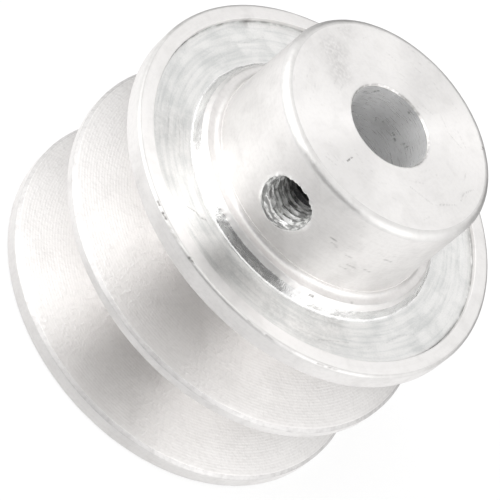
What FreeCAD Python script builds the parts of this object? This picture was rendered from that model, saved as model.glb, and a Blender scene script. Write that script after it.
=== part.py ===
"""Two-groove V belt pulley: one turned aluminium casting and the set screw that locks it to a shaft.

Frame, in millimetres: the bore's axis is +Z, the origin is the bore's centre on the back rim face,
the hub stands up on the +Z side, and the tapped hole for the set screw faces -Y.
"""
import FreeCAD, Part
import math
import os

Vector = FreeCAD.Vector

# Rim and belt grooves. Heights are counted up from the back rim face. A groove's top width is where
# its flanks would reach the outside diameter if its mouth had no chamfers.
OUTSIDE_D = 75.0
RIM_WIDTH = 43.9
RIM_EDGE_RADIUS = 0.6
GROOVE_COUNT = 2
REAR_GROOVE_CENTRE = 11.85
GROOVE_PITCH = 19.4
GROOVE_TOP_WIDTH = 17.05
GROOVE_ANGLE = 34.0
GROOVE_DEPTH = 14.3
GROOVE_ROOT_RADIUS = 1.0
GROOVE_CHAMFER = 0.6

# Front side: a cast web just below the rim face, and a turned ring round the foot of the hub.
# Drops and heights are from the front rim face.
WEB_OUTER_D = 68.8
WEB_OUTER_DROP = 1.1
WEB_INNER_D = 51.5
WEB_INNER_DROP = 1.7
RING_BASE_D = 49.6
RING_FACE_D = 48.3
RING_HEIGHT = 1.0
FOOT_TURNED_D = 44.4
FOOT_TURNED_HEIGHT = 2.1
FOOT_FILLET_RADIUS = 1.0
HUB_FOOT_D = 44.1
HUB_FACE_D = 43.6
HUB_HEIGHT = 20.7
HUB_EDGE_RADIUS = 1.5
BORE_D = 16.0
BORE_EDGE_BREAK = 0.3
SMALL_FILLET = 0.3

# Back side: a shallow recess between the rim annulus and a boss faced level with the rim.
BACK_BOSS_D = 29.0
BACK_BOSS_FOOT_D = 30.0
RECESS_DEPTH = 1.2
RECESS_FILLET = 0.5

# Tapped hole, M10 coarse, square to the bore. A 60 degree thread's ridge is 3/4 pitch wide at its foot.
THREAD_PITCH = 1.5
THREAD_FLANK_ANGLE = 30.0
THREAD_FOOT_WIDTH = 0.75 * THREAD_PITCH
HOLE_MAJOR_D = 10.0
HOLE_MINOR_D = 8.376
HOLE_HEIGHT = RIM_WIDTH + 10.3
HOLE_RELIEF_DEPTH = 0.9

# Set screw: hexagon socket, cup point. Its crests run just inside the hole's minor diameter.
SCREW_LENGTH = 6.0
SCREW_CREST_GAP = 0.05
SCREW_THREAD_DEPTH = 0.4
SCREW_TIP_GAP = 0.2
SCREW_TIP_CHAMFER = 1.0
SCREW_TOP_CHAMFER = 0.4
SOCKET_ACROSS_FLATS = 5.0
SOCKET_DEPTH = 3.2
CUP_D = 4.6
CUP_DEPTH = 1.1

OVERRUN = 2.0  # how far a cutting tool runs past the metal
RIDGE_EMBED = 0.05  # how far a thread ridge is sunk into its core or stands past its blank


def tangent_arc(before, corner, after, radius):
    """The start, middle and end of the arc of this radius that rounds off a corner."""
    to_before = (before - corner).normalize()
    to_after = (after - corner).normalize()
    half_angle = to_before.getAngle(to_after) / 2
    inward = (to_before + to_after).normalize()
    start = corner + to_before * (radius / math.tan(half_angle))
    middle = corner + inward * (radius / math.sin(half_angle) - radius)
    end = corner + to_after * (radius / math.tan(half_angle))
    return start, middle, end


def turned(corners):
    """A solid of revolution about Z from a closed outline of (radius, height, corner rounding)."""
    points = [Vector(radius, 0, height) for radius, height, _ in corners]
    bends = []
    for index, (_, _, rounding) in enumerate(corners):
        before, corner, after = points[index - 1], points[index], points[(index + 1) % len(points)]
        bends.append(tangent_arc(before, corner, after, rounding) if rounding else (corner,))
    edges = []
    for bend, next_bend in zip(bends, bends[1:] + bends[:1]):
        if len(bend) > 1:
            edges.append(Part.Arc(*bend).toShape())
        edges.append(Part.makeLine(bend[-1], next_bend[0]))
    return Part.Face(Part.Wire(edges)).revolve(Vector(0, 0, 0), Vector(0, 0, 1), 360)


def groove_corners(centre):
    """One V groove from its lower mouth chamfer up to its upper one."""
    rim = OUTSIDE_D / 2
    root = rim - GROOVE_DEPTH
    slope = math.tan(math.radians(GROOVE_ANGLE / 2))
    half_root = GROOVE_TOP_WIDTH / 2 - GROOVE_DEPTH * slope
    half_neck = GROOVE_TOP_WIDTH / 2 - GROOVE_CHAMFER * slope
    half_mouth = half_neck + GROOVE_CHAMFER
    return [
        (rim, centre - half_mouth, 0),
        (rim - GROOVE_CHAMFER, centre - half_neck, 0),
        (root, centre - half_root, GROOVE_ROOT_RADIUS),
        (root, centre + half_root, GROOVE_ROOT_RADIUS),
        (rim - GROOVE_CHAMFER, centre + half_neck, 0),
        (rim, centre + half_mouth, 0),
    ]


def back_corners():
    """From the bore out across the boss, the recess and the back rim annulus."""
    return [
        (BORE_D / 2, BORE_EDGE_BREAK, 0),
        (BORE_D / 2 + BORE_EDGE_BREAK, 0, 0),
        (BACK_BOSS_D / 2, 0, SMALL_FILLET),
        (BACK_BOSS_FOOT_D / 2, RECESS_DEPTH, RECESS_FILLET),
        (WEB_OUTER_D / 2, RECESS_DEPTH, RECESS_FILLET),
        (WEB_OUTER_D / 2, 0, SMALL_FILLET),
        (OUTSIDE_D / 2, 0, RIM_EDGE_RADIUS),
    ]


def front_corners():
    """From the front rim edge in across the web, up the hub and back to the bore."""
    ring_face = RIM_WIDTH + RING_HEIGHT
    foot_top = RIM_WIDTH + FOOT_TURNED_HEIGHT
    hub_face = RIM_WIDTH + HUB_HEIGHT
    return [
        (OUTSIDE_D / 2, RIM_WIDTH, RIM_EDGE_RADIUS),
        (WEB_OUTER_D / 2, RIM_WIDTH, SMALL_FILLET / 2),
        (WEB_OUTER_D / 2, RIM_WIDTH - WEB_OUTER_DROP, SMALL_FILLET),
        (WEB_INNER_D / 2, RIM_WIDTH - WEB_INNER_DROP, SMALL_FILLET),
        (RING_BASE_D / 2, RIM_WIDTH, 0),
        (RING_FACE_D / 2, ring_face, 0),
        (FOOT_TURNED_D / 2, ring_face, FOOT_FILLET_RADIUS),
        (FOOT_TURNED_D / 2, foot_top, 0),
        (HUB_FOOT_D / 2, foot_top, 0),
        (HUB_FACE_D / 2, hub_face, HUB_EDGE_RADIUS),
        (BORE_D / 2 + BORE_EDGE_BREAK, hub_face, 0),
        (BORE_D / 2, hub_face - BORE_EDGE_BREAK, 0),
    ]


def threaded_core(core_radius, tip_radius, length):
    """A round core along +Z with one 60 degree thread ridge wound round it."""
    slope = math.tan(math.radians(THREAD_FLANK_ANGLE))
    foot_radius = core_radius - RIDGE_EMBED
    half_foot = THREAD_FOOT_WIDTH / 2 + RIDGE_EMBED * slope
    half_tip = THREAD_FOOT_WIDTH / 2 - (tip_radius - core_radius) * slope
    section = Part.makePolygon(
        [
            Vector(foot_radius, 0, -half_foot),
            Vector(tip_radius, 0, -half_tip),
            Vector(tip_radius, 0, half_tip),
            Vector(foot_radius, 0, half_foot),
            Vector(foot_radius, 0, -half_foot),
        ]
    )
    helix = Part.Wire(Part.makeHelix(THREAD_PITCH, length, core_radius).Edges)
    ridge = helix.makePipeShell([Part.Wire(section)], True, True)
    core = Part.makeCylinder(core_radius, length + THREAD_PITCH, Vector(0, 0, -THREAD_PITCH / 2))
    return core.fuse(ridge)


def pointing_out(shape, start_radius):
    """Lay a shape built along +Z on the tapped hole's axis, its foot start_radius from the bore's axis."""
    quarter_turn = FreeCAD.Rotation(Vector(1, 0, 0), 90)
    shape.Placement = FreeCAD.Placement(Vector(0, -start_radius, HOLE_HEIGHT), quarter_turn)
    return shape


def tapped_hole_tool():
    """The metal taken out for the tapped hole: its threaded core and its relieved mouth."""
    start_radius = BORE_D / 2 - OVERRUN
    surface = HUB_FOOT_D / 2 - start_radius
    minor = HOLE_MINOR_D / 2
    major = HOLE_MAJOR_D / 2
    relief_floor = surface - HOLE_RELIEF_DEPTH
    relief = turned(
        [
            (0, relief_floor - major, 0),
            (major, relief_floor, 0),
            (major, surface + OVERRUN, 0),
            (0, surface + OVERRUN, 0),
        ]
    )
    return pointing_out(threaded_core(minor, major, surface).fuse(relief), start_radius)


def pulley_body():
    corners = back_corners()
    for index in range(GROOVE_COUNT):
        corners += groove_corners(REAR_GROOVE_CENTRE + index * GROOVE_PITCH)
    corners += front_corners()
    return turned(corners).cut(tapped_hole_tool())


def hexagon_socket():
    corner_radius = SOCKET_ACROSS_FLATS / math.sqrt(3)
    corners = []
    for side in range(7):
        angle = side * math.pi / 3
        corners.append(Vector(corner_radius * math.cos(angle), corner_radius * math.sin(angle), 0))
    socket = Part.Face(Part.makePolygon(corners)).extrude(Vector(0, 0, SOCKET_DEPTH + OVERRUN))
    socket.translate(Vector(0, 0, SCREW_LENGTH - SOCKET_DEPTH))
    return socket


def set_screw():
    crest = HOLE_MINOR_D / 2 - SCREW_CREST_GAP
    blank = turned(
        [
            (0, 0, 0),
            (crest - SCREW_TIP_CHAMFER, 0, 0),
            (crest, SCREW_TIP_CHAMFER, 0),
            (crest, SCREW_LENGTH - SCREW_TOP_CHAMFER, 0),
            (crest - SCREW_TOP_CHAMFER, SCREW_LENGTH, 0),
            (0, SCREW_LENGTH, 0),
        ]
    )
    core_radius = crest - SCREW_THREAD_DEPTH
    threaded = threaded_core(core_radius, crest + RIDGE_EMBED, SCREW_LENGTH + 2 * THREAD_PITCH)
    threaded.translate(Vector(0, 0, -THREAD_PITCH))
    cup = Part.makeCone(CUP_D / 2, 0, CUP_DEPTH)
    screw = blank.common(threaded).cut(hexagon_socket()).cut(cup)
    return pointing_out(screw, BORE_D / 2 + SCREW_TIP_GAP)


def main():
    os.makedirs("parts", exist_ok=True)
    for name, shape in (("pulley_body", pulley_body()), ("set_screw", set_screw())):
        box = shape.optimalBoundingBox()
        print(
            f"{name}: {len(shape.Solids)} solid, valid {shape.isValid()}, {shape.Volume:.0f} mm3, "
            f"X {box.XMin:.2f} to {box.XMax:.2f}, Y {box.YMin:.2f} to {box.YMax:.2f}, "
            f"Z {box.ZMin:.2f} to {box.ZMax:.2f}"
        )
        shape.exportStep(f"parts/{name}.step")


main()
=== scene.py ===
"""Looks for the two-groove V belt pulley: a turned aluminium casting and its blackened set screw.

The frame is the CAD model's: bore axis +Z, back rim face at Z = 0, tapped hole facing -Y. Sizes in
this script are millimetres and degrees until a mesh, a material or the camera is made in metres.
"""
import math

import bpy
import numpy as np
from mathutils import Matrix, Vector, noise


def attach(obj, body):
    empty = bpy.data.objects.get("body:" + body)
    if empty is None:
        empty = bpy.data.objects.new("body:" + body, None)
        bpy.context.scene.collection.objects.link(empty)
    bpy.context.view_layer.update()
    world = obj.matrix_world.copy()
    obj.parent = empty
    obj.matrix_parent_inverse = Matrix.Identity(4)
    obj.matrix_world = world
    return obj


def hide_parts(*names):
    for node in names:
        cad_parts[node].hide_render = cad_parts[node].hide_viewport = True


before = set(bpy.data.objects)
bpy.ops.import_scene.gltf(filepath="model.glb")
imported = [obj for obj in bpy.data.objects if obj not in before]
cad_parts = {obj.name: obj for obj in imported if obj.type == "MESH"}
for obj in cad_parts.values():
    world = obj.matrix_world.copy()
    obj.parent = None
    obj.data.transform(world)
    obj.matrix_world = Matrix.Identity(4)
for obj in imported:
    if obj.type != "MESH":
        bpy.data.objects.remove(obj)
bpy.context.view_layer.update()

MM = 0.001

# The casting's section, as in the CAD part. Heights run up from the back rim face.
OUTSIDE_R = 37.5
RIM_WIDTH = 43.9
RIM_EDGE_R = 0.6
GROOVE_CENTRES = (11.85, 31.25)
GROOVE_TOP_WIDTH = 17.05
GROOVE_HALF_ANGLE = 17.0
GROOVE_DEPTH = 14.3
GROOVE_ROOT_R = 1.0
GROOVE_CHAMFER = 0.6
WEB_OUTER_R = 34.4
WEB_OUTER_Z = RIM_WIDTH - 1.1
WEB_INNER_R = 25.75
WEB_INNER_Z = RIM_WIDTH - 1.7
RING_BASE_R = 24.8
RING_FACE_R = 24.15
RING_Z = RIM_WIDTH + 1.0
FOOT_R = 22.2
FOOT_Z = RIM_WIDTH + 2.1
HUB_FOOT_R = 22.05
HUB_SIDE_R = 21.9  # part of the way up the tapering hub
HUB_FACE_R = 21.8
HUB_Z = RIM_WIDTH + 20.7
HUB_EDGE_R = 1.5
BORE_R = 8.0
BORE_BREAK = 0.3
BOSS_R = 14.5
BOSS_FOOT_R = 15.0
RECESS_Z = 1.2

# The tapped hole, M10 coarse. It's cut with a tool that runs past the metal at both ends.
HOLE_Z = RIM_WIDTH + 10.3
HOLE_MINOR_R = 4.188
HOLE_MAJOR_R = 5.0
HOLE_PITCH = 1.5
HOLE_RELIEF = 0.9
HOLE_FLANK_ANGLE = 30
HOLE_HALF_TIP = 0.1  # half the width of the thread's outer tip
HOLE_OVERRUN = 2.0
HOLE_STEP = 0.1
HOLE_COLUMNS = 96
HOLE_SIDE_Y = -20.0  # the hub's surface at the hole's mouth is all farther out than this
TORN_SIZE = 0.55
TORN_DEPTH = 0.2

# How the casting's mesh is divided and softened.
COLUMNS = 640
EDGE_STEPS = 2
ROUND_STEPS = 7
BROKEN_EDGE = 0.12  # the small round a sharp turned corner really has
DEEP_BORE_Z = 48.0  # below this the bore is coarser, because little of it is seen
RIM_ROLL = 1.9  # how far in from its edge the front rim face starts to fall away
RIM_ROLL_DROP = 0.09
SHARP_ANGLE = 38

REGIONS = ("face", "edge", "chamfer", "land", "flank", "web", "ledge", "hub", "bore", "thread")

# How far each region wanders from its true surface, and the size of its lumps.
UNEVENNESS = {
    "face": (0.006, 6.0),
    "edge": (0.02, 1.2),
    "chamfer": (0.03, 1.6),
    "land": (0.008, 7.0),
    "flank": (0.006, 7.0),
    "web": (0.02, 6.0),
    "ledge": (0.012, 0.5),
    "hub": (0.012, 5.0),
    "bore": (0.0, 5.0),
}
LEAST_UNEVENNESS = 0.001

# Edges that aren't true circles: radius, height, reach, sway, waves round the axis, seed.
EDGE_WANDER = (
    (WEB_INNER_R, WEB_INNER_Z, 0.6, 0.11, 9.0, 3),
    (RING_BASE_R, RIM_WIDTH, 0.4, 0.08, 14.0, 5),
    (WEB_OUTER_R, WEB_OUTER_Z, 0.35, 0.07, 12.0, 7),
)
RIPPLE_FINER = 3.1
RIPPLE_SHARE = 0.6

# The burr round the tapped hole. It's pushed outward and inward by a mean, plus a share of the lumps'
# height, up to a limit.
BURR_R = HOLE_MAJOR_R + 0.02
BURR_REACH = 0.3
BURR_OUTWARD = (0.1, 0.24, 0.34)
BURR_INWARD = (0.05, 0.14, 0.16)
BURR_RIM_R = HUB_FACE_R - 0.8  # the burr is on metal farther from the bore's axis than this
LEAST_BURR = 0.01

# Seeds of the lumps and of the random scratches. Each use of lumps in two sizes takes two seeds.
CASTING_SEED = 1
TORN_SEED = 11
BURR_SEED = 21
MARK_SEED = 31
STAIN_AND_SHADE_SEED = 35
RING_SEED = 37
HAIRLINE_SEED = 41
SEED_STEP = (17.3, 5.1, 11.7)

# How marks, stains, painted shade and bright metal are broken up: the mean weight and how far lumps
# change it.
# Each also has a core, in half widths or reaches: it's full within core - 1 and gone at core.
BROKEN_MEAN = 0.75
BROKEN_SHARE = 1.1

# Each mark: its points as (azimuth, radius, height), its half width, how dark it is, how deep it is cut.
MARKS = (
    # hub face
    ([(-87.0, 14.8, HUB_Z), (-87.0, 13.3, HUB_Z)], 0.14, 0.8, 0.06),
    ([(51.9, 20.2, HUB_Z), (53.0, 20.5, HUB_Z)], 0.18, 0.8, 0.06),
    ([(22.0, 18.5, HUB_Z), (14.0, 17.2, HUB_Z), (8.0, 17.6, HUB_Z)], 0.10, 0.25, 0.02),
    ([(-10.0, 16.0, HUB_Z), (2.0, 17.5, HUB_Z)], 0.10, 0.22, 0.02),
    ([(-30.0, 12.0, HUB_Z), (-16.0, 15.5, HUB_Z)], 0.09, 0.2, 0.02),
    ([(60.0, 13.0, HUB_Z), (48.0, 15.5, HUB_Z)], 0.09, 0.2, 0.02),
    # bore
    ([(161.0, BORE_R, 62.3), (150.0, BORE_R, 62.0), (140.0, BORE_R, 63.2)], 0.16, 0.75, 0.05),
    ([(161.0, BORE_R, 61.2), (148.0, BORE_R, 60.4), (136.0, BORE_R, 60.9)], 0.10, 0.4, 0.03),
    ([(84.0, BORE_R, 57.6), (81.0, BORE_R, 57.5)], 0.18, 0.7, 0.05),
    ([(78.0, BORE_R, 57.0), (75.0, BORE_R, 57.3)], 0.18, 0.7, 0.05),
    ([(66.0, BORE_R, 58.2), (63.5, BORE_R, 58.8)], 0.14, 0.7, 0.05),
    ([(59.0, BORE_R, 58.6), (57.0, BORE_R, 59.4)], 0.14, 0.6, 0.05),
    ([(103.0, BORE_R, 57.6), (102.0, BORE_R, 57.5)], 0.16, 0.6, 0.05),
    ([(113.0, BORE_R, 57.3), (111.0, BORE_R, 56.6)], 0.14, 0.6, 0.05),
    ([(92.0, BORE_R, 63.0), (90.5, BORE_R, 63.1)], 0.14, 0.6, 0.05),
    # hub side, right of the tapped hole
    ([(-66.0, HUB_SIDE_R, 55.9), (-62.5, HUB_SIDE_R, 55.7)], 0.12, 0.48, 0.03),
    ([(-63.5, HUB_SIDE_R, 54.9), (-60.0, HUB_SIDE_R, 54.8)], 0.12, 0.42, 0.03),
    ([(-55.0, HUB_SIDE_R, 54.3), (-50.5, HUB_SIDE_R, 54.0)], 0.12, 0.4, 0.03),
    ([(-50.0, HUB_SIDE_R, 52.3), (-45.0, HUB_SIDE_R, 52.0)], 0.14, 0.45, 0.03),
    ([(-52.5, HUB_SIDE_R, 51.2), (-48.5, HUB_SIDE_R, 51.0)], 0.13, 0.4, 0.03),
    ([(-42.0, HUB_SIDE_R, 52.6), (-37.0, HUB_SIDE_R, 52.1)], 0.12, 0.4, 0.03),
    ([(-38.0, HUB_SIDE_R, 56.5), (-33.0, HUB_SIDE_R, 56.1)], 0.12, 0.4, 0.03),
    # hub edge
    ([(-102.0, 21.7, 64.3), (-96.0, 21.75, 64.1)], 0.16, 0.3, 0.05),
    ([(-90.0, 21.7, 64.2), (-85.0, 21.7, 64.25)], 0.18, 0.35, 0.06),
    ([(-82.0, 21.75, 64.1), (-80.5, 21.75, 64.1)], 0.16, 0.35, 0.05),
    # ring and web
    ([(-54.5, 24.6, 44.2), (-53.0, 24.6, 44.2)], 0.22, 0.75, 0.06),
    ([(-34.9, 23.9, RING_Z), (-34.2, 23.9, RING_Z)], 0.18, 0.6, 0.06),
    (
        [(-109.1, 30.4, 42.5), (-107.0, 29.0, 42.4), (-104.4, 28.7, 42.4), (-103.2, 27.6, 42.3)],
        0.13, 0.55, 0.05,
    ),
    ([(-150.0, 31.5, 42.6), (-140.0, 30.6, 42.5), (-131.0, 31.2, 42.6)], 0.09, 0.2, 0.02),
    ([(-146.0, 29.0, 42.4), (-137.0, 28.2, 42.4), (-128.0, 28.8, 42.4)], 0.09, 0.18, 0.02),
    ([(170.0, 31.0, 42.6), (160.0, 30.2, 42.5), (152.0, 31.4, 42.6)], 0.09, 0.2, 0.02),
    ([(-20.0, 30.5, 42.5), (-12.0, 29.8, 42.5), (-5.0, 30.8, 42.6)], 0.09, 0.2, 0.02),
    ([(-48.0, 31.5, 42.6), (-36.0, 30.4, 42.5)], 0.09, 0.25, 0.02),
    # rim edge and lands
    ([(-111.0, 37.35, 43.75), (-109.5, 37.35, 43.7)], 0.19, 0.8, 0.07),
    ([(-107.5, 37.35, 43.7), (-105.0, 37.35, 43.75)], 0.2, 0.85, 0.08),
    ([(-103.2, 37.35, 43.75), (-102.5, 37.35, 43.7)], 0.15, 0.5, 0.05),
    ([(-100.5, 37.35, 43.7), (-98.6, 37.35, 43.75)], 0.11, 0.45, 0.04),
    ([(-94.0, 37.35, 43.7), (-92.6, 37.35, 43.75)], 0.22, 0.9, 0.08),
    ([(-72.0, 37.3, 43.8), (-70.5, 37.3, 43.75)], 0.16, 0.35, 0.05),
    ([(-66.0, 37.35, 43.7), (-64.0, 37.35, 43.7)], 0.18, 0.35, 0.08),
    ([(-49.5, 37.35, 43.7), (-47.6, 37.35, 43.7)], 0.14, 0.45, 0.05),
    ([(-46.0, 37.35, 43.7), (-43.5, 37.35, 43.75)], 0.14, 0.5, 0.05),
    ([(-119.0, 37.5, 41.2), (-118.7, 37.5, 41.2)], 0.20, 0.75, 0.06),
    ([(-73.6, 37.5, 22.9), (-72.9, 37.5, 22.9)], 0.15, 0.4, 0.04),
    ([(-76.5, 37.5, 21.8), (-76.1, 37.5, 21.9)], 0.15, 0.4, 0.04),
    ([(-62.0, 37.5, 22.0), (-61.5, 37.5, 22.0)], 0.15, 0.35, 0.04),
)
MARK_CORE = 1.5
MARK_MARGIN = 1.0  # how far round a mark its vertices are looked for
MARK_PATCH = 0.45

# Stained places, and places of painted shade: azimuth, radius, height, how far they reach, how dark they
# are.
STAINS_AND_SHADE = (
    (178.0, 16.0, HUB_Z, 3.2, 0.2),
    (-171.0, 12.5, HUB_Z, 2.6, 0.18),
    (160.0, 18.5, HUB_Z, 2.4, 0.12),
    (100.0, 14.0, HUB_Z, 3.0, 0.06),
    (-45.0, HUB_SIDE_R, 52.0, 2.4, 0.10),
    # painted shade: darker patches on the web's -Y side, where the web reflects the dark side of the
    # studio
    (-88.0, 29.5, WEB_OUTER_Z, 3.5, 0.12),
    (-78.0, 28.5, WEB_OUTER_Z, 3.0, 0.14),
    (-40.0, 27.5, WEB_OUTER_Z, 2.5, 0.14),
    (-66.0, 30.0, WEB_OUTER_Z, 3.6, 0.16),
    (-56.0, 31.0, WEB_OUTER_Z, 3.4, 0.1),
    # painted shade: a dark spot in the corner where the web meets the rim's inner wall
    (158.0, 34.3, WEB_OUTER_Z, 1.2, 0.30),
    (-50.0, 25.2, WEB_INNER_Z + 0.9, 2.2, 0.14),
    (-41.0, 25.2, WEB_INNER_Z + 0.9, 2.2, 0.14),
    (-139.0, 30.0, WEB_OUTER_Z, 5.2, 0.14),
    # painted shade: one more darker patch on the web's -Y side, for its reflection of the dark side of
    # the studio
    (-49.0, 30.0, WEB_OUTER_Z, 4.4, 0.13),
    # painted shade: a darker band on the bore's wall, on its +Y side, standing in for the shade there
    (95.0, BORE_R, 57.5, 2.5, 0.15),
)
STAIN_AND_SHADE_CORE = 1.3
STAIN_AND_SHADE_PATCH = 0.6

# Dull rings round the axis, one of them painted shade: radius, height, reach, how dark they are, the size
# of their patches.
DULL_AND_SHADED_RINGS = (
    # painted shade: a dark line along the corner where the web meets the rim's inner wall, where shade
    # falls
    (WEB_OUTER_R, WEB_OUTER_Z, 0.24, 0.6, 1.6),
    (HUB_FACE_R - 0.4, HUB_Z - 0.4, 0.9, 0.13, 9.0),
    (BORE_R + 0.15, HUB_Z - 0.15, 0.24, 0.4, 0.7),
    (RING_FACE_R, RING_Z, 0.3, 0.12, 2.0),
    (OUTSIDE_R - 0.15, RIM_WIDTH - 0.15, 0.45, 0.13, 5.0),
)
RING_CORE = 1.4

# Bright rings, where metal is torn or rubbed: radius, height, reach, core, strength, patch size, seed.
BRIGHT_RINGS = (
    (WEB_INNER_R, WEB_INNER_Z, 0.25, 1.4, 0.8, 0.7, 53),
    (HUB_FACE_R - 0.4, HUB_Z - 0.4, 0.5, 1.3, 0.12, 1.2, 55),
)
# The burr's own brightness: reach, core, strength, patch size, seed.
BRIGHT_BURR = (0.14, 1.3, 0.9, 0.5, 51)

HAIRLINES = 260
HAIRLINE_HALF_WIDTH = 0.07
HAIRLINE_DEPTH = 0.008
HAIRLINE_DARKNESS = (0.04, 0.16)
HAIRLINE_DRIFT = 0.25  # how far a hairline strays from running round the axis, as a share of its length
# Where hairlines run: the radii, the heights and the lengths that they are drawn from.
HAIRLINE_PLACES = (
    ((9.5, 20.5), (HUB_Z, HUB_Z), (0.6, 3.0)),
    ((26.2, 33.8), (WEB_OUTER_Z - 0.2, WEB_OUTER_Z - 0.2), (1.0, 6.0)),
    ((HUB_SIDE_R, HUB_SIDE_R), (47, 62.5), (0.5, 2.5)),
)

# The camera: it looks at TARGET from this side, this high, and is rolled so the bore points up and right.
TARGET = (1.04, -5.33, 26.38)
VIEW_AZIMUTH = -86.61
VIEW_ELEVATION = 42.28
VIEW_ROLL = 49.75
VIEW_DISTANCE = 509.3
LENS = 206.73
SENSOR = 36.0
CLIP_START = 0.01  # metres
CLIP_END = 20  # metres

# Patches of the studio that the metal sees, by azimuth, half width, fade, and lowest and highest sine
# of elevation. The gap is the dark side that the camera stands on.
GAP = (VIEW_AZIMUTH + 7, 30, 12, -0.2, 0.68)
BACK_WALL = (VIEW_AZIMUTH + 180, 24, 34, -0.2, 0.34)
# Softboxes have their light level after that.
SOFTBOXES = (
    (VIEW_AZIMUTH - 56, 16, 12, -0.1, 0.85, 1.2),
    (VIEW_AZIMUTH - 86, 20, 32, 0.25, 0.85, 0.75),
    (VIEW_AZIMUTH + 67, 18, 15, -0.1, 0.8, 0.7),
    (VIEW_AZIMUTH + 92, 22, 32, 0.25, 0.85, 0.25),
)
PATCH_RISE = 0.1
PATCH_FALL = 0.12
WORLD_LEVEL = 1.0  # white
WORLD_COLOUR = (1.0, 0.998, 0.995)
GAP_DEPTH = 0.8
BACK_DEPTH = 0.9
GAP_FOOT = (-0.35, -0.05)  # the sines of elevation between which the gap fades in

FLOOR_HALF_SIDE = 6.0  # metres
FLOOR_DROP = 0.0002  # metres below the pulley
FLOOR_TINT = 0.22
FLOOR_ROUGHNESS = 0.9
FLOOR_GLOW = 0.78
# How bright the metal sees the floor in front of it, to each side and behind.
FLOOR_FRONT = 0.58
FLOOR_RIGHT = 0.76
FLOOR_LEFT = 0.84
FLOOR_BACK = 0.06
# How far from its middle each of these starts to fade and ends.
FLOOR_FRONT_SPREAD = (15, 75)
FLOOR_LEFT_SPREAD = (30, 120)
FLOOR_BACK_SPREAD = (22, 70)


# ---------------------------------------------------------------- the casting's shape


def tangent_arc(before, corner, after, radius, steps):
    """Points along the arc of this radius that rounds off a corner."""
    to_before = (before - corner).normalized()
    to_after = (after - corner).normalized()
    half = to_before.angle(to_after) / 2
    start = corner + to_before * (radius / math.tan(half))
    end = corner + to_after * (radius / math.tan(half))
    centre = corner + (to_before + to_after).normalized() * (radius / math.sin(half))
    points = []
    for step in range(steps + 1):
        spoke = (start - centre).lerp(end - centre, step / steps).normalized()
        points.append(centre + spoke * radius)
    return points


def groove_corners(centre):
    """One V groove from its lower mouth chamfer up to its upper one."""
    slope = math.tan(math.radians(GROOVE_HALF_ANGLE))
    root = OUTSIDE_R - GROOVE_DEPTH
    half_root = GROOVE_TOP_WIDTH / 2 - GROOVE_DEPTH * slope
    half_neck = GROOVE_TOP_WIDTH / 2 - GROOVE_CHAMFER * slope
    half_mouth = half_neck + GROOVE_CHAMFER
    neck = OUTSIDE_R - GROOVE_CHAMFER
    return [
        (OUTSIDE_R, centre - half_mouth, BROKEN_EDGE, "chamfer", 0.3),
        (neck, centre - half_neck, BROKEN_EDGE, "flank", 0.8),
        (root, centre - half_root, GROOVE_ROOT_R, "flank", 0.8),
        (root, centre + half_root, GROOVE_ROOT_R, "flank", 0.8),
        (neck, centre + half_neck, BROKEN_EDGE, "chamfer", 0.3),
        (OUTSIDE_R, centre + half_mouth, BROKEN_EDGE, "land", 0.7),
    ]


def section_corners():
    """The closed outline as (radius, height, rounding, region of the run after it, row spacing)."""
    back = [
        (BORE_R, BORE_BREAK, 0, "face", 0.3),
        (BORE_R + BORE_BREAK, 0, 0, "face", 0.8),
        (BOSS_R, 0, 0.3, "face", 0.4),
        (BOSS_FOOT_R, RECESS_Z, 0.5, "web", 0.6),
        (WEB_OUTER_R, RECESS_Z, 0.5, "face", 0.4),
        (WEB_OUTER_R, 0, 0.3, "face", 0.6),
        (OUTSIDE_R, 0, RIM_EDGE_R, "land", 0.7),
    ]
    front = [
        (OUTSIDE_R, RIM_WIDTH, RIM_EDGE_R, "face", 0.3),
        (WEB_OUTER_R, RIM_WIDTH, 0.15, "face", 0.25),
        (WEB_OUTER_R, WEB_OUTER_Z, 0.3, "web", 0.22),
        (WEB_INNER_R, WEB_INNER_Z, 0.55, "ledge", 0.14),
        (RING_BASE_R, RIM_WIDTH, 0.3, "face", 0.25),
        (RING_FACE_R, RING_Z, BROKEN_EDGE, "hub", 0.3),
        (FOOT_R, RING_Z, 1.0, "hub", 0.25),
        (FOOT_R, FOOT_Z, 0, "face", 0.3),
        (HUB_FOOT_R, FOOT_Z, 0, "hub", 0.28),
        (HUB_FACE_R, HUB_Z, HUB_EDGE_R, "face", 0.25),
        (BORE_R + BORE_BREAK, HUB_Z, 0, "face", 0.15),
        (BORE_R, HUB_Z - BORE_BREAK, 0, "bore", 0.4),
        (BORE_R, DEEP_BORE_Z, 0, "bore", 1.6),
    ]
    grooves = [corner for centre in GROOVE_CENTRES for corner in groove_corners(centre)]
    return back + grooves + front


def section_rows():
    """The outline's rows as arrays of radius and height, and each row's region."""
    corners = section_corners()
    points = [Vector((radius, height)) for radius, height, _, _, _ in corners]
    bends = []
    for index, (_, _, rounding, _, _) in enumerate(corners):
        before, corner, after = points[index - 1], points[index], points[(index + 1) % len(points)]
        steps = EDGE_STEPS if rounding <= BROKEN_EDGE else ROUND_STEPS
        bends.append(tangent_arc(before, corner, after, rounding, steps) if rounding else [corner])
    rows = []
    for bend, next_bend, (_, _, rounding, region, spacing) in zip(bends, bends[1:] + bends[:1], corners):
        rounded = "edge" if rounding in (RIM_EDGE_R, HUB_EDGE_R) else region
        rows += [(point, rounded) for point in bend[:-1]]
        rows.append((bend[-1], region))
        run = next_bend[0] - bend[-1]
        count = max(1, round(run.length / spacing))
        rows += [(bend[-1] + run * (step / count), region) for step in range(1, count)]
    radius = np.array([point.x for point, _ in rows])
    height = np.array([point.y for point, _ in rows])
    return radius, height, [region for _, region in rows]


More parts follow.
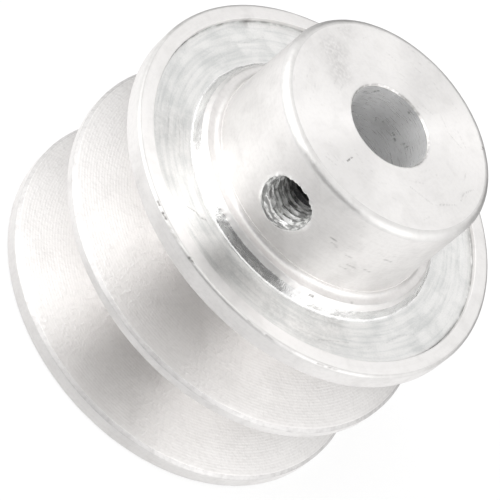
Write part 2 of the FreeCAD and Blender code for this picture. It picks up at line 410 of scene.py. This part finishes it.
def outward_normals(radius, height):
    """Unit normals of the closed outline, pointing out of the metal."""
    along_r = np.roll(radius, -1) - np.roll(radius, 1)
    along_z = np.roll(height, -1) - np.roll(height, 1)
    length = np.hypot(along_r, along_z)
    return along_z / length, -along_r / length


def softened(values, times=3):
    """Row values with their steps eased, so that two regions meet smoothly."""
    for _ in range(times):
        values = (np.roll(values, 1) + 2 * values + np.roll(values, -1)) / 4
    return values


def lumps(points, size, seed):
    """Smooth noise at each point, about -1 to 1, with lumps of this size."""
    offset = Vector([seed * step for step in SEED_STEP])
    return np.array([noise.noise(Vector(point) / size + offset) for point in points])


def rough_lumps(points, size, seed, finer=2.3, share=0.5):
    """Lumps with smaller ones over them, so many times finer and with this share of their height."""
    return lumps(points, size, seed) + share * lumps(points, size / finer, seed + 1)


def wander(angles, seed, waves):
    """A closed wavy line round the axis: one value per angle, about -1 to 1."""
    points = np.stack([np.cos(angles), np.sin(angles), np.full_like(angles, seed)], 1) * waves
    return lumps(points, 1.0, seed)


def uneven_rows(radius, height, regions, angles):
    """The section's rows turned round the axis, as uneven radii and heights [row, column]."""
    normal_r, normal_z = outward_normals(radius, height)
    amount = softened(np.array([UNEVENNESS[region][0] for region in regions]))
    radii = np.repeat(radius[:, None], COLUMNS, 1)
    heights = np.repeat(height[:, None], COLUMNS, 1)
    for row, region in enumerate(regions):
        if amount[row] < LEAST_UNEVENNESS:
            continue
        ring = [radii[row] * np.cos(angles), radii[row] * np.sin(angles), heights[row]]
        lift = rough_lumps(np.stack(ring, 1), UNEVENNESS[region][1], CASTING_SEED, finer=2.7)
        radii[row] += normal_r[row] * amount[row] * lift
        heights[row] += normal_z[row] * amount[row] * lift
    return radii, heights


def casting_grid():
    """The casting's vertices as an array [row, column, xyz], and each row's region."""
    radius, height, regions = section_rows()
    angles = np.arange(COLUMNS) * (2 * math.pi / COLUMNS)
    radii, heights = uneven_rows(radius, height, regions, angles)
    for corner_r, corner_z, reach, sway, waves, seed in EDGE_WANDER:
        gap = np.hypot(radius - corner_r, height - corner_z)
        hold = np.exp(-((gap / reach) ** 2))
        ripple = wander(angles, seed + 1, waves * RIPPLE_FINER)
        shift = wander(angles, seed, waves) + RIPPLE_SHARE * ripple
        radii += hold[:, None] * shift[None, :] * sway
    roll = np.clip((radius - OUTSIDE_R + RIM_ROLL) / RIM_ROLL, 0, 1) ** 2 * RIM_ROLL_DROP
    heights -= np.where(height > RIM_WIDTH - RIM_EDGE_R, roll, 0.0)[:, None]
    grid = np.stack([radii * np.cos(angles), radii * np.sin(angles), heights], 2)
    return grid, regions


def grid_mesh(name, grid, face_material, close_rows=True):
    """A mesh from a grid whose columns close on themselves, one material index per row of faces."""
    rows, columns, _ = grid.shape
    index = np.arange(rows * columns).reshape(rows, columns)
    lower = index if close_rows else index[:-1]
    upper = np.roll(index, -1, 0) if close_rows else index[1:]
    faces = np.stack([lower, np.roll(lower, -1, 1), np.roll(upper, -1, 1), upper], 2)
    mesh = bpy.data.meshes.new(name)
    mesh.from_pydata((grid.reshape(-1, 3) * MM).tolist(), [], faces.reshape(-1, 4).tolist())
    mesh.polygons.foreach_set("material_index", np.repeat(face_material, columns))
    return mesh


def hole_radius(turn, out):
    """The tapped hole's radius where the tool has turned this far and is this far out."""
    ramp = (out / HOLE_PITCH - turn / (2 * math.pi)) % 1.0
    from_ridge = np.abs(ramp - 0.5) * HOLE_PITCH
    flank = HOLE_MAJOR_R - (from_ridge - HOLE_HALF_TIP) / math.tan(math.radians(HOLE_FLANK_ANGLE))
    thread = np.clip(flank, HOLE_MINOR_R, HOLE_MAJOR_R)
    relief_floor = HUB_FOOT_R - HOLE_RELIEF
    relief = np.where(out > relief_floor, HOLE_MAJOR_R, HOLE_MAJOR_R - (relief_floor - out))
    return np.maximum(thread, relief)


def tapped_hole_tool():
    """A closed solid in the shape of the tapped hole, from inside the bore to outside the hub."""
    outs = np.arange(BORE_R - HOLE_OVERRUN, HUB_FOOT_R + HOLE_OVERRUN, HOLE_STEP)
    turns = np.arange(HOLE_COLUMNS) * (2 * math.pi / HOLE_COLUMNS)
    out, turn = np.meshgrid(outs, turns, indexing="ij")
    radius = hole_radius(turn, out)
    torn = np.stack([radius * np.cos(turn), radius * np.sin(turn), out], 2).reshape(-1, 3)
    ragged = np.abs(lumps(torn, TORN_SIZE, TORN_SEED)).reshape(radius.shape)
    crest = np.clip((HOLE_MAJOR_R - radius) / (HOLE_MAJOR_R - HOLE_MINOR_R), 0, 1)
    radius = radius + ragged * crest * TORN_DEPTH
    grid = np.stack([radius * np.cos(turn), -out, HOLE_Z + radius * np.sin(turn)], 2)
    thread = REGIONS.index("thread")
    mesh = grid_mesh("hole_tool", grid, np.full(len(outs) - 1, thread), close_rows=False)
    return closed_ends(mesh, len(outs), HOLE_COLUMNS)


def closed_ends(mesh, rows, columns):
    """The same mesh with a flat cap on its first and last row, its faces pointing out."""
    vertices = [vertex.co.copy() for vertex in mesh.vertices]
    faces = [tuple(face.vertices) for face in mesh.polygons]
    first = list(range(columns))
    last = list(range((rows - 1) * columns, rows * columns))
    faces += [tuple(reversed(first)), tuple(last)]
    material = mesh.polygons[0].material_index
    closed = bpy.data.meshes.new(mesh.name)
    closed.from_pydata(vertices, [], faces)
    closed.polygons.foreach_set("material_index", [material] * len(faces))
    return closed


def linked(name, mesh):
    """A new object with this mesh, in the scene."""
    made = bpy.data.objects.new(name, mesh)
    bpy.context.scene.collection.objects.link(made)
    return made


def cut_away(body, tool):
    """body less tool, keeping each face's material."""
    cut = body.modifiers.new("cut", "BOOLEAN")
    cut.operation = "DIFFERENCE"
    cut.solver = "EXACT"
    cut.material_mode = "INDEX"
    cut.object = tool
    bpy.context.view_layer.update()
    evaluated = body.evaluated_get(bpy.context.evaluated_depsgraph_get())
    result = bpy.data.meshes.new_from_object(evaluated)
    body.modifiers.clear()
    body.data = result
    bpy.data.objects.remove(tool)


# ---------------------------------------------------------------- burrs, nicks, scratches and painted shade


def vertex_array(mesh):
    """The mesh's vertices in millimetres."""
    flat = np.empty(len(mesh.vertices) * 3)
    mesh.vertices.foreach_get("co", flat)
    return flat.reshape(-1, 3) / MM


def store_vertices(mesh, points):
    mesh.vertices.foreach_set("co", (points * MM).ravel())
    mesh.update()


def normal_array(mesh):
    flat = np.empty(len(mesh.vertices) * 3)
    mesh.vertex_normals.foreach_get("vector", flat)
    return flat.reshape(-1, 3)


def store_attribute(mesh, name, values):
    attribute = mesh.attributes.new(name, "FLOAT", "POINT")
    attribute.data.foreach_set("value", values)


def pushed(ragged, mean, share, limit):
    """How far torn metal is pushed where its lumps are this high."""
    return np.clip(mean + share * ragged, 0.0, limit)


def raise_burr(points):
    """The torn lip of metal pushed up round the tapped hole's mouth."""
    x, y, z = points.T
    from_axis = np.hypot(x, z - HOLE_Z)
    outside = (y < HOLE_SIDE_Y) & (np.hypot(x, y) > BURR_RIM_R)
    lip = np.exp(-(((from_axis - BURR_R) / BURR_REACH) ** 2)) * outside
    near = lip > LEAST_BURR
    ragged = rough_lumps(points[near], 1.0, BURR_SEED, finer=2.5, share=0.8)
    points[near, 1] -= lip[near] * pushed(ragged, *BURR_OUTWARD)
    inward = lip[near] * pushed(ragged, *BURR_INWARD) / from_axis[near]
    points[near, 0] *= 1 - inward
    points[near, 2] -= (points[near, 2] - HOLE_Z) * inward
    return points


def on_casting(azimuth, radius, height):
    """The point at this place round the axis."""
    angle = math.radians(azimuth)
    return np.array([radius * math.cos(angle), radius * math.sin(angle), height])


def distance_to_line(points, line):
    """Each point's distance from a line of straight runs."""
    best = np.full(len(points), np.inf)
    for start, end in zip(line, line[1:]):
        run = end - start
        along = np.clip((points - start) @ run / (run @ run), 0, 1)
        gap = np.linalg.norm(points - start - along[:, None] * run, axis=1)
        best = np.minimum(best, gap)
    return best


def distance_to_ring(points, radius, height):
    """Each point's distance from a circle round the axis."""
    return np.hypot(np.hypot(points[:, 0], points[:, 1]) - radius, points[:, 2] - height)


def fading(gap, reach, core):
    """1 where the gap is under core - 1 reaches, falling to 0 where it is core reaches."""
    return np.clip(core - gap / reach, 0, 1)


def broken_up(points, near, size, seed):
    """A ragged 0 to 1 weight for the points that are near."""
    weight = np.zeros(len(points))
    ragged = rough_lumps(points[near], size, seed)
    weight[near] = np.clip(BROKEN_MEAN + BROKEN_SHARE * ragged, 0, 1)
    return weight


def hairlines():
    """Faint random scratches on the hub face, the web and the hub side, listed as MARKS is."""
    draw = np.random.default_rng(HAIRLINE_SEED)
    lines = []
    for _ in range(HAIRLINES):
        place = draw.integers(len(HAIRLINE_PLACES))
        azimuth = draw.uniform(-180, 180)
        radii, heights, lengths = HAIRLINE_PLACES[place]
        upright = radii[0] == radii[1]
        radius = radii[0] if upright else draw.uniform(*radii)
        height = draw.uniform(*heights) if upright else heights[0]
        length = draw.uniform(*lengths)
        sweep = math.degrees(length / radius)
        drift = draw.normal(0, HAIRLINE_DRIFT) * length
        start = (azimuth, radius, height)
        if upright:
            end = (azimuth + sweep, radius, height + drift)
        else:
            end = (azimuth + sweep, radius + drift, height)
        dark = draw.uniform(*HAIRLINE_DARKNESS)
        lines.append(([start, end], HAIRLINE_HALF_WIDTH, dark, HAIRLINE_DEPTH))
    return lines


def scratches(points):
    """How dark each point is and how far it is sunk, from the marks and the hairlines."""
    darkness = np.zeros(len(points))
    sunk = np.zeros(len(points))
    for line, half_width, dark, depth in list(MARKS) + hairlines():
        line = [on_casting(*point) for point in line]
        middle = sum(line) / len(line)
        reach = max(np.linalg.norm(point - middle) for point in line) + MARK_MARGIN
        close = np.flatnonzero(np.linalg.norm(points - middle, axis=1) < reach)
        hit = fading(distance_to_line(points[close], line), half_width, MARK_CORE)
        darkness[close] = np.maximum(darkness[close], hit * dark)
        sunk[close] = np.maximum(sunk[close], hit * depth)
    ragged = broken_up(points, darkness > 0, MARK_PATCH, MARK_SEED)
    return darkness * ragged, sunk * ragged


def apply_marks_and_shade(mesh):
    """Cut the marks a little way in and leave their darkness, with that of the stains, dull rings and
    painted shade, in the mesh's mark_and_shade attribute.
    """
    points = vertex_array(mesh)
    normals = normal_array(mesh)
    darkness, sunk = scratches(points)
    for azimuth, radius, height, reach, dark in STAINS_AND_SHADE:
        gap = np.linalg.norm(points - on_casting(azimuth, radius, height), axis=1)
        hit = fading(gap, reach, STAIN_AND_SHADE_CORE)
        darkness += hit * dark * broken_up(points, hit > 0, STAIN_AND_SHADE_PATCH, STAIN_AND_SHADE_SEED)
    for radius, height, reach, dark, patch in DULL_AND_SHADED_RINGS:
        hit = fading(distance_to_ring(points, radius, height), reach, RING_CORE)
        darkness += hit * dark * broken_up(points, hit > 0, patch, RING_SEED)
    store_vertices(mesh, points - normals * sunk[:, None])
    store_attribute(mesh, "mark_and_shade", np.clip(darkness, 0, 1))


def bright_edges(mesh):
    """Leave in the "shine" attribute where torn or rubbed metal is bright: burr, ledge edge, corners."""
    points = vertex_array(mesh)
    x, y, z = points.T
    reach, core, strength, patch, seed = BRIGHT_BURR
    spot = fading(np.abs(np.hypot(x, z - HOLE_Z) - BURR_R), reach, core) * (y < HOLE_SIDE_Y)
    shine = strength * spot * broken_up(points, spot > 0, patch, seed)
    for radius, height, reach, core, strength, patch, seed in BRIGHT_RINGS:
        spot = fading(distance_to_ring(points, radius, height), reach, core)
        shine = np.maximum(shine, strength * spot * broken_up(points, spot > 0, patch, seed))
    store_attribute(mesh, "shine", shine)


def make_casting(materials):
    grid, regions = casting_grid()
    indices = np.array([REGIONS.index(region) for region in regions])
    casting = linked("casting", grid_mesh("casting", grid, indices))
    tool = linked("hole_tool", tapped_hole_tool())
    for region in REGIONS:
        casting.data.materials.append(materials[region])
        tool.data.materials.append(materials[region])
    cut_away(casting, tool)
    mesh = casting.data
    store_vertices(mesh, raise_burr(vertex_array(mesh)))
    apply_marks_and_shade(mesh)
    bright_edges(mesh)
    mesh.polygons.foreach_set("use_smooth", [True] * len(mesh.polygons))
    mesh.set_sharp_from_angle(angle=math.radians(SHARP_ANGLE))
    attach(casting, "pulley")
    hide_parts("pulley_body")


# ---------------------------------------------------------------- materials


def rgb(red, green, blue):
    return (red, green, blue, 1.0)


BRIGHT_METAL = rgb(0.97, 0.97, 0.965)
# the dark colour of marks and dirt, also used for painted shade
DIRT_AND_SHADE = rgb(0.08, 0.075, 0.07)
QUARTER_TURN = 0.25


class Tree:
    """A node tree with short ways to add nodes and join them."""

    def __init__(self, tree):
        self.tree = tree

    def node(self, kind, inputs=None, **settings):
        """A new node with these settings, and with a value or a link on each input given."""
        made = self.tree.nodes.new(kind)
        for setting, value in settings.items():
            setattr(made, setting, value)
        for socket, value in (inputs or {}).items():
            self.plug(value, made.inputs[socket])
        return made

    def plug(self, value, socket):
        if isinstance(value, bpy.types.NodeSocket):
            self.tree.links.new(value, socket)
        else:
            socket.default_value = value

    def maths(self, operation, first, second=0.0):
        return self.node("ShaderNodeMath", {0: first, 1: second}, operation=operation).outputs[0]

    def vector(self, operation, first, second):
        made = self.node("ShaderNodeVectorMath", {0: first, 1: second}, operation=operation)
        return made.outputs["Value" if operation == "DOT_PRODUCT" else "Vector"]

    def direction(self, vector):
        """The vector at length 1."""
        made = self.node("ShaderNodeVectorMath", {0: vector}, operation="NORMALIZE")
        return made.outputs["Vector"]

    def ranged(self, value, low, high, to_low=0.0, to_high=1.0):
        """value from low..high to to_low..to_high, eased at both ends."""
        inputs = {"Value": value, "From Min": low, "From Max": high}
        inputs.update({"To Min": to_low, "To Max": to_high})
        made = self.node("ShaderNodeMapRange", inputs, interpolation_type="SMOOTHSTEP")
        return made.outputs["Result"]

    def blended(self, factor, first, second):
        """A number between first and second."""
        made = self.node("ShaderNodeMix", {0: factor, 2: first, 3: second}, data_type="FLOAT")
        return made.outputs[0]

    def mixed(self, factor, first, second):
        """A colour between first and second."""
        made = self.node("ShaderNodeMix", {0: factor, 6: first, 7: second}, data_type="RGBA")
        return made.outputs[2]

    def towards(self, place, azimuth, near, far):
        """1 where a place is within near degrees of this azimuth, fading to 0 at far degrees."""
        level = self.direction(self.vector("MULTIPLY", place, (1, 1, 0)))
        angle = math.radians(azimuth)
        match = self.vector("DOT_PRODUCT", level, (math.cos(angle), math.sin(angle), 0))
        return self.ranged(match, math.cos(math.radians(far)), math.cos(math.radians(near)))


class Shader(Tree):
    """A material's node tree, built from its Principled shader backwards."""

    def __init__(self, name, **constants):
        self.material = bpy.data.materials.new(name)
        self.material.use_nodes = True
        super().__init__(self.material.node_tree)
        self.surface = self.tree.nodes["Principled BSDF"]
        for socket, value in constants.items():
            self.surface.inputs[socket.replace("_", " ")].default_value = value

    def place(self):
        return self.node("ShaderNodeTexCoord").outputs["Object"]

    def noise(self, place, scale, detail, distortion=0.0):
        inputs = {"Vector": place, "Scale": scale, "Detail": detail, "Distortion": distortion}
        return self.node("ShaderNodeTexNoise", inputs).outputs["Fac"]

    def turning_place(self, arc, pitch):
        """A place that changes slowly round the axis, over arc radians, and quickly along the section."""
        spot = self.place()
        flat = self.vector("MULTIPLY", spot, (1, 1, 0))
        radius = self.node("ShaderNodeVectorMath", {0: flat}, operation="LENGTH").outputs["Value"]
        inputs = {0: self.direction(flat), "Scale": 1 / arc}
        turn = self.node("ShaderNodeVectorMath", inputs, operation="SCALE").outputs["Vector"]
        height = self.node("ShaderNodeSeparateXYZ", {0: spot}).outputs["Z"]
        along = self.maths("MULTIPLY", self.maths("ADD", radius, height), 1 / (pitch * MM))
        along = self.node("ShaderNodeCombineXYZ", {"Z": along}).outputs[0]
        return self.vector("ADD", turn, along)

    def lathe_lines(self, arc=0.3, pitch=0.25, detail=2.0):
        """Fine lines round the axis, 0 to 1."""
        return self.noise(self.turning_place(arc, pitch), 1.0, detail)

    def feed_lines(self, pitch, arc=0.3, detail=2.0):
        """The even lines a lathe tool leaves as it feeds, half broken up, 0 to 1."""
        spot = self.turning_place(arc, pitch)
        along = self.node("ShaderNodeSeparateXYZ", {0: spot}).outputs["Z"]
        wave = self.maths("SINE", self.maths("MULTIPLY", along, 2 * math.pi))
        even = self.node("ShaderNodeMath", {0: wave, 1: 0.5, 2: 0.5}, operation="MULTIPLY_ADD").outputs[0]
        return self.blended(0.5, even, self.noise(spot, 1.0, detail))

    def blotches(self, size, detail=4.0, distortion=0.0, seed=0.0):
        """Uneven patches about this many millimetres across, 0 to 1."""
        spot = self.vector("ADD", self.place(), (seed, seed, seed))
        return self.noise(spot, 1 / (size * MM), detail, distortion)

    def marked_and_shaded(self, colour):
        """The colour, brighter where the mesh's metal is torn or rubbed, and dark where it's marked or
        where shade is painted.
        """
        shine = self.node("ShaderNodeAttribute", attribute_name="shine").outputs["Fac"]
        colour = self.mixed(shine, colour, BRIGHT_METAL)
        mark_and_shade = self.node("ShaderNodeAttribute", attribute_name="mark_and_shade").outputs["Fac"]
        return self.mixed(mark_and_shade, colour, DIRT_AND_SHADE)

    def brushed_round(self, amount):
        """Stretch the gloss across the lathe lines, which run round the axis."""
        self.surface.inputs["Anisotropic"].default_value = amount
        self.surface.inputs["Anisotropic Rotation"].default_value = QUARTER_TURN
        tangent = self.node("ShaderNodeTangent", direction_type="RADIAL", axis="Z")
        self.tree.links.new(tangent.outputs[0], self.surface.inputs["Tangent"])

    def finish(self, colour, roughness, bumps):
        """Plug in colour, roughness and a chain of bumps, each (height, depth in millimetres)."""
        normal = None
        for height, depth in bumps:
            inputs = {"Height": height, "Distance": depth * MM, "Strength": 1.0}
            if normal is not None:
                inputs["Normal"] = normal
            normal = self.node("ShaderNodeBump", inputs).outputs["Normal"]
        links = self.tree.links
        links.new(colour, self.surface.inputs["Base Color"])
        links.new(roughness, self.surface.inputs["Roughness"])
        links.new(normal, self.surface.inputs["Normal"])
        return self.material


def turned_metal(
    name, light, dark, roughness, patch, pitch=0.25, depth=0.004, metallic=1.0, brushed=0.6, feed=False
):
    """Machined aluminium: fine lathe lines, faint stains and handling marks."""
    shader = Shader(name, Metallic=metallic)
    shader.brushed_round(brushed)
    lines = shader.feed_lines(pitch) if feed else shader.lathe_lines(pitch=pitch)
    stain = shader.ranged(shader.blotches(patch, detail=9.0, distortion=0.3), 0.45, 0.68)
    speckle = shader.ranged(shader.blotches(0.7, detail=3.0, seed=0.2), 0.4, 0.7)
    stain_tone = shader.maths("MULTIPLY", stain, 0.6)
    speckle_tone = shader.maths("MULTIPLY", speckle, 0.3)
    line_tone = shader.ranged(lines, 0.35, 0.65, 0.0, 0.12)
    tone = shader.maths("ADD", shader.maths("ADD", stain_tone, speckle_tone), line_tone)
    colour = shader.mixed(tone, light, dark)
    rough = shader.ranged(lines, 0.3, 0.7, roughness - 0.03, roughness + 0.03)
    return shader.finish(shader.marked_and_shaded(colour), rough, [(lines, depth), (speckle, depth)])


def cast_metal(name, light, dark, roughness, depth, brushed, grain_depth=0.006):
    """Cast aluminium, roughly skimmed: streaks round the axis, soft mottling and a fine grain."""
    shader = Shader(name, Metallic=1.0)
    shader.brushed_round(brushed)
    swirls = shader.lathe_lines(arc=0.2, pitch=0.3, detail=3.0)
    streaks = shader.ranged(shader.lathe_lines(arc=0.3, pitch=0.7, detail=6.0), 0.4, 0.7)
    skin = shader.ranged(shader.blotches(4.5, detail=9.0, distortion=0.3, seed=0.3), 0.42, 0.7)
    grain = shader.blotches(0.3)
    skin_tone = shader.maths("MULTIPLY", shader.maths("ADD", skin, streaks), 0.5)
    grain_tone = shader.ranged(grain, 0.35, 0.7, 0.0, 0.25)
    colour = shader.mixed(shader.maths("ADD", skin_tone, grain_tone), light, dark)
    rough = shader.ranged(swirls, 0.3, 0.7, roughness - 0.05, roughness + 0.05)
    return shader.finish(shader.marked_and_shaded(colour), rough, [(swirls, depth), (grain, grain_depth)])


def thread_metal():
    """The tapped hole's wall: torn, oily and dark between bright crests, its dark colour also painted
    shade for the hole's shaded inside.
    """
    shader = Shader("tapped_aluminium", Metallic=0.25)
    # The hole lies along Y, so patches squeezed along Y run round it as its thread does.
    spot = shader.vector("MULTIPLY", shader.place(), (1.0, 3.2, 1.0))
    torn = shader.noise(spot, 1 / (HOLE_PITCH * MM), detail=5.0, distortion=0.5)
    # painted shade: the dark colour stands in for the shade deep in the hole as well as for oil
    colour = shader.mixed(shader.ranged(torn, 0.4, 0.6), rgb(0.3, 0.3, 0.295), rgb(0.92, 0.92, 0.91))
    rough = shader.ranged(torn, 0.3, 0.7, 0.45, 0.28)
    return shader.finish(colour, rough, [(torn, 0.04)])


def black_oxide():
    """Blackened steel: near black, with brighter worn spots and a fine grain."""
    shader = Shader("black_oxide_steel", Metallic=0.5)
    wear = shader.ranged(shader.blotches(0.5, detail=5.0, distortion=0.4), 0.5, 0.72)
    colour = shader.mixed(wear, rgb(0.15, 0.15, 0.155), rgb(0.36, 0.355, 0.35))
    grain = shader.blotches(0.12, detail=3.0)
    rough = shader.ranged(grain, 0.3, 0.7, 0.38, 0.55)
    return shader.finish(colour, rough, [(grain, 0.006)])


def casting_materials():
    """Each region's material. Colours are its cleanest and its most stained."""
    return {
        "face": turned_metal(
            "turned_face", rgb(0.97, 0.955, 0.945), rgb(0.89, 0.875, 0.865), 0.42, 4.0, brushed=0.85
        ),
        "edge": turned_metal(
            "worn_edge", rgb(0.82, 0.81, 0.8), rgb(0.72, 0.71, 0.7), 0.43, 3.0, brushed=0.3
        ),
        "chamfer": turned_metal(
            "dull_chamfer", rgb(0.71, 0.7, 0.695), rgb(0.58, 0.57, 0.565), 0.52, 1.5, brushed=0.0
        ),
        "land": turned_metal("turned_land", rgb(0.85, 0.835, 0.825), rgb(0.74, 0.725, 0.715), 0.42, 6.0),
        # painted highlight: the groove flanks are a lighter copy of the lands' turned metal, to brighten
        # their highlights
        "flank": turned_metal(
            "turned_groove", rgb(0.92, 0.905, 0.895), rgb(0.82, 0.805, 0.795), 0.42, 9.0,
            pitch=0.34, depth=0.017, brushed=0.85, feed=True,
        ),
        "web": cast_metal(
            "cast_web", rgb(0.91, 0.905, 0.895), rgb(0.68, 0.69, 0.685), 0.38, depth=0.007, brushed=0.6
        ),
        "ledge": cast_metal(
            "cast_ledge", rgb(0.9, 0.9, 0.89), rgb(0.7, 0.7, 0.7), 0.25,
            depth=0.003, brushed=0.0, grain_depth=0.022,
        ),
        "hub": turned_metal("turned_hub", rgb(0.86, 0.845, 0.835), rgb(0.75, 0.735, 0.725), 0.44, 6.0),
        "bore": turned_metal(
            "reamed_bore", rgb(0.97, 0.97, 0.97), rgb(0.84, 0.84, 0.84), 0.3, 5.0,
            pitch=0.1, depth=0.0004, metallic=0.6, brushed=0.85,
        ),
        "thread": thread_metal(),
    }


# ---------------------------------------------------------------- the studio


def make_camera():
    azimuth, elevation = math.radians(VIEW_AZIMUTH), math.radians(VIEW_ELEVATION)
    level = math.cos(elevation)
    back = Vector((math.cos(azimuth) * level, math.sin(azimuth) * level, math.sin(elevation)))
    level_right = Vector((-math.sin(azimuth), math.cos(azimuth), 0))
    level_up = back.cross(level_right)
    roll = Matrix.Rotation(math.radians(VIEW_ROLL), 3, back)
    right, up = roll @ level_right, roll @ level_up
    camera = bpy.data.objects.new("camera", bpy.data.cameras.new("camera"))
    bpy.context.scene.collection.objects.link(camera)
    turned = Matrix((right, up, back)).transposed().to_4x4()
    turned.translation = (Vector(TARGET) + back * VIEW_DISTANCE) * MM
    camera.matrix_world = turned
    camera.data.sensor_width = SENSOR
    camera.data.lens = LENS
    camera.data.clip_start = CLIP_START
    camera.data.clip_end = CLIP_END
    bpy.context.scene.camera = camera


def make_world():
    """A white studio with softboxes, a dark gap at the camera's side and a low dark wall behind."""
    world = bpy.data.worlds.new("studio")
    bpy.context.scene.world = world
    world.use_nodes = True
    tree = Tree(world.node_tree)
    direction = tree.node("ShaderNodeTexCoord").outputs["Generated"]
    height = tree.node("ShaderNodeSeparateXYZ", {0: direction}).outputs["Z"]

    def patch(azimuth, half_width, fade, low, high):
        side = tree.towards(direction, azimuth, half_width, half_width + fade)
        rise = tree.ranged(height, low - PATCH_RISE, low + PATCH_RISE)
        fall = tree.ranged(height, high + PATCH_FALL, high - PATCH_FALL)
        return tree.maths("MULTIPLY", side, tree.maths("MULTIPLY", rise, fall))

    gap = tree.maths("MULTIPLY", patch(*GAP), tree.ranged(height, *GAP_FOOT))
    level = tree.maths("SUBTRACT", WORLD_LEVEL, tree.maths("MULTIPLY", gap, GAP_DEPTH))
    level = tree.maths("SUBTRACT", level, tree.maths("MULTIPLY", patch(*BACK_WALL), BACK_DEPTH))
    for *place, strength in SOFTBOXES:
        level = tree.maths("ADD", level, tree.maths("MULTIPLY", patch(*place), strength))
    # The camera sees the studio's plain white wall, and only the metal sees the softboxes and the gap.
    seen = tree.node("ShaderNodeLightPath").outputs["Is Camera Ray"]
    background = tree.tree.nodes["Background"]
    tree.plug(tree.blended(seen, level, 1.0), background.inputs["Strength"])
    background.inputs["Color"].default_value = rgb(*WORLD_COLOUR)


def make_floor():
    """A plain pale floor, which the metal sees darker in front of it and behind."""
    mesh = bpy.data.meshes.new("floor")
    side, height = FLOOR_HALF_SIDE, -FLOOR_DROP
    corners = [(-side, -side, height), (side, -side, height), (side, side, height), (-side, side, height)]
    mesh.from_pydata(corners, [], [(0, 1, 2, 3)])
    floor = linked("floor", mesh)
    shader = Shader("pale_floor", Roughness=FLOOR_ROUGHNESS)
    shader.surface.inputs["Base Color"].default_value = rgb(FLOOR_TINT, FLOOR_TINT, FLOOR_TINT)
    shader.surface.inputs["Emission Color"].default_value = rgb(1, 1, 1)
    spot = shader.place()
    left = shader.towards(spot, VIEW_AZIMUTH - 90, *FLOOR_LEFT_SPREAD)
    front = shader.towards(spot, VIEW_AZIMUTH, *FLOOR_FRONT_SPREAD)
    behind = shader.towards(spot, VIEW_AZIMUTH + 180, *FLOOR_BACK_SPREAD)
    glow = shader.blended(front, shader.blended(left, FLOOR_RIGHT, FLOOR_LEFT), FLOOR_FRONT)
    glow = shader.blended(behind, glow, FLOOR_BACK)
    seen = shader.node("ShaderNodeLightPath").outputs["Is Camera Ray"]
    glow = shader.blended(seen, glow, FLOOR_GLOW)
    shader.tree.links.new(glow, shader.surface.inputs["Emission Strength"])
    mesh.materials.append(shader.material)


def main():
    scene = bpy.context.scene
    scene.view_settings.view_transform = "Standard"
    make_casting(casting_materials())
    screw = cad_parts["set_screw"]
    screw.data.materials.clear()
    screw.data.materials.append(black_oxide())
    make_camera()
    make_world()
    make_floor()


main()
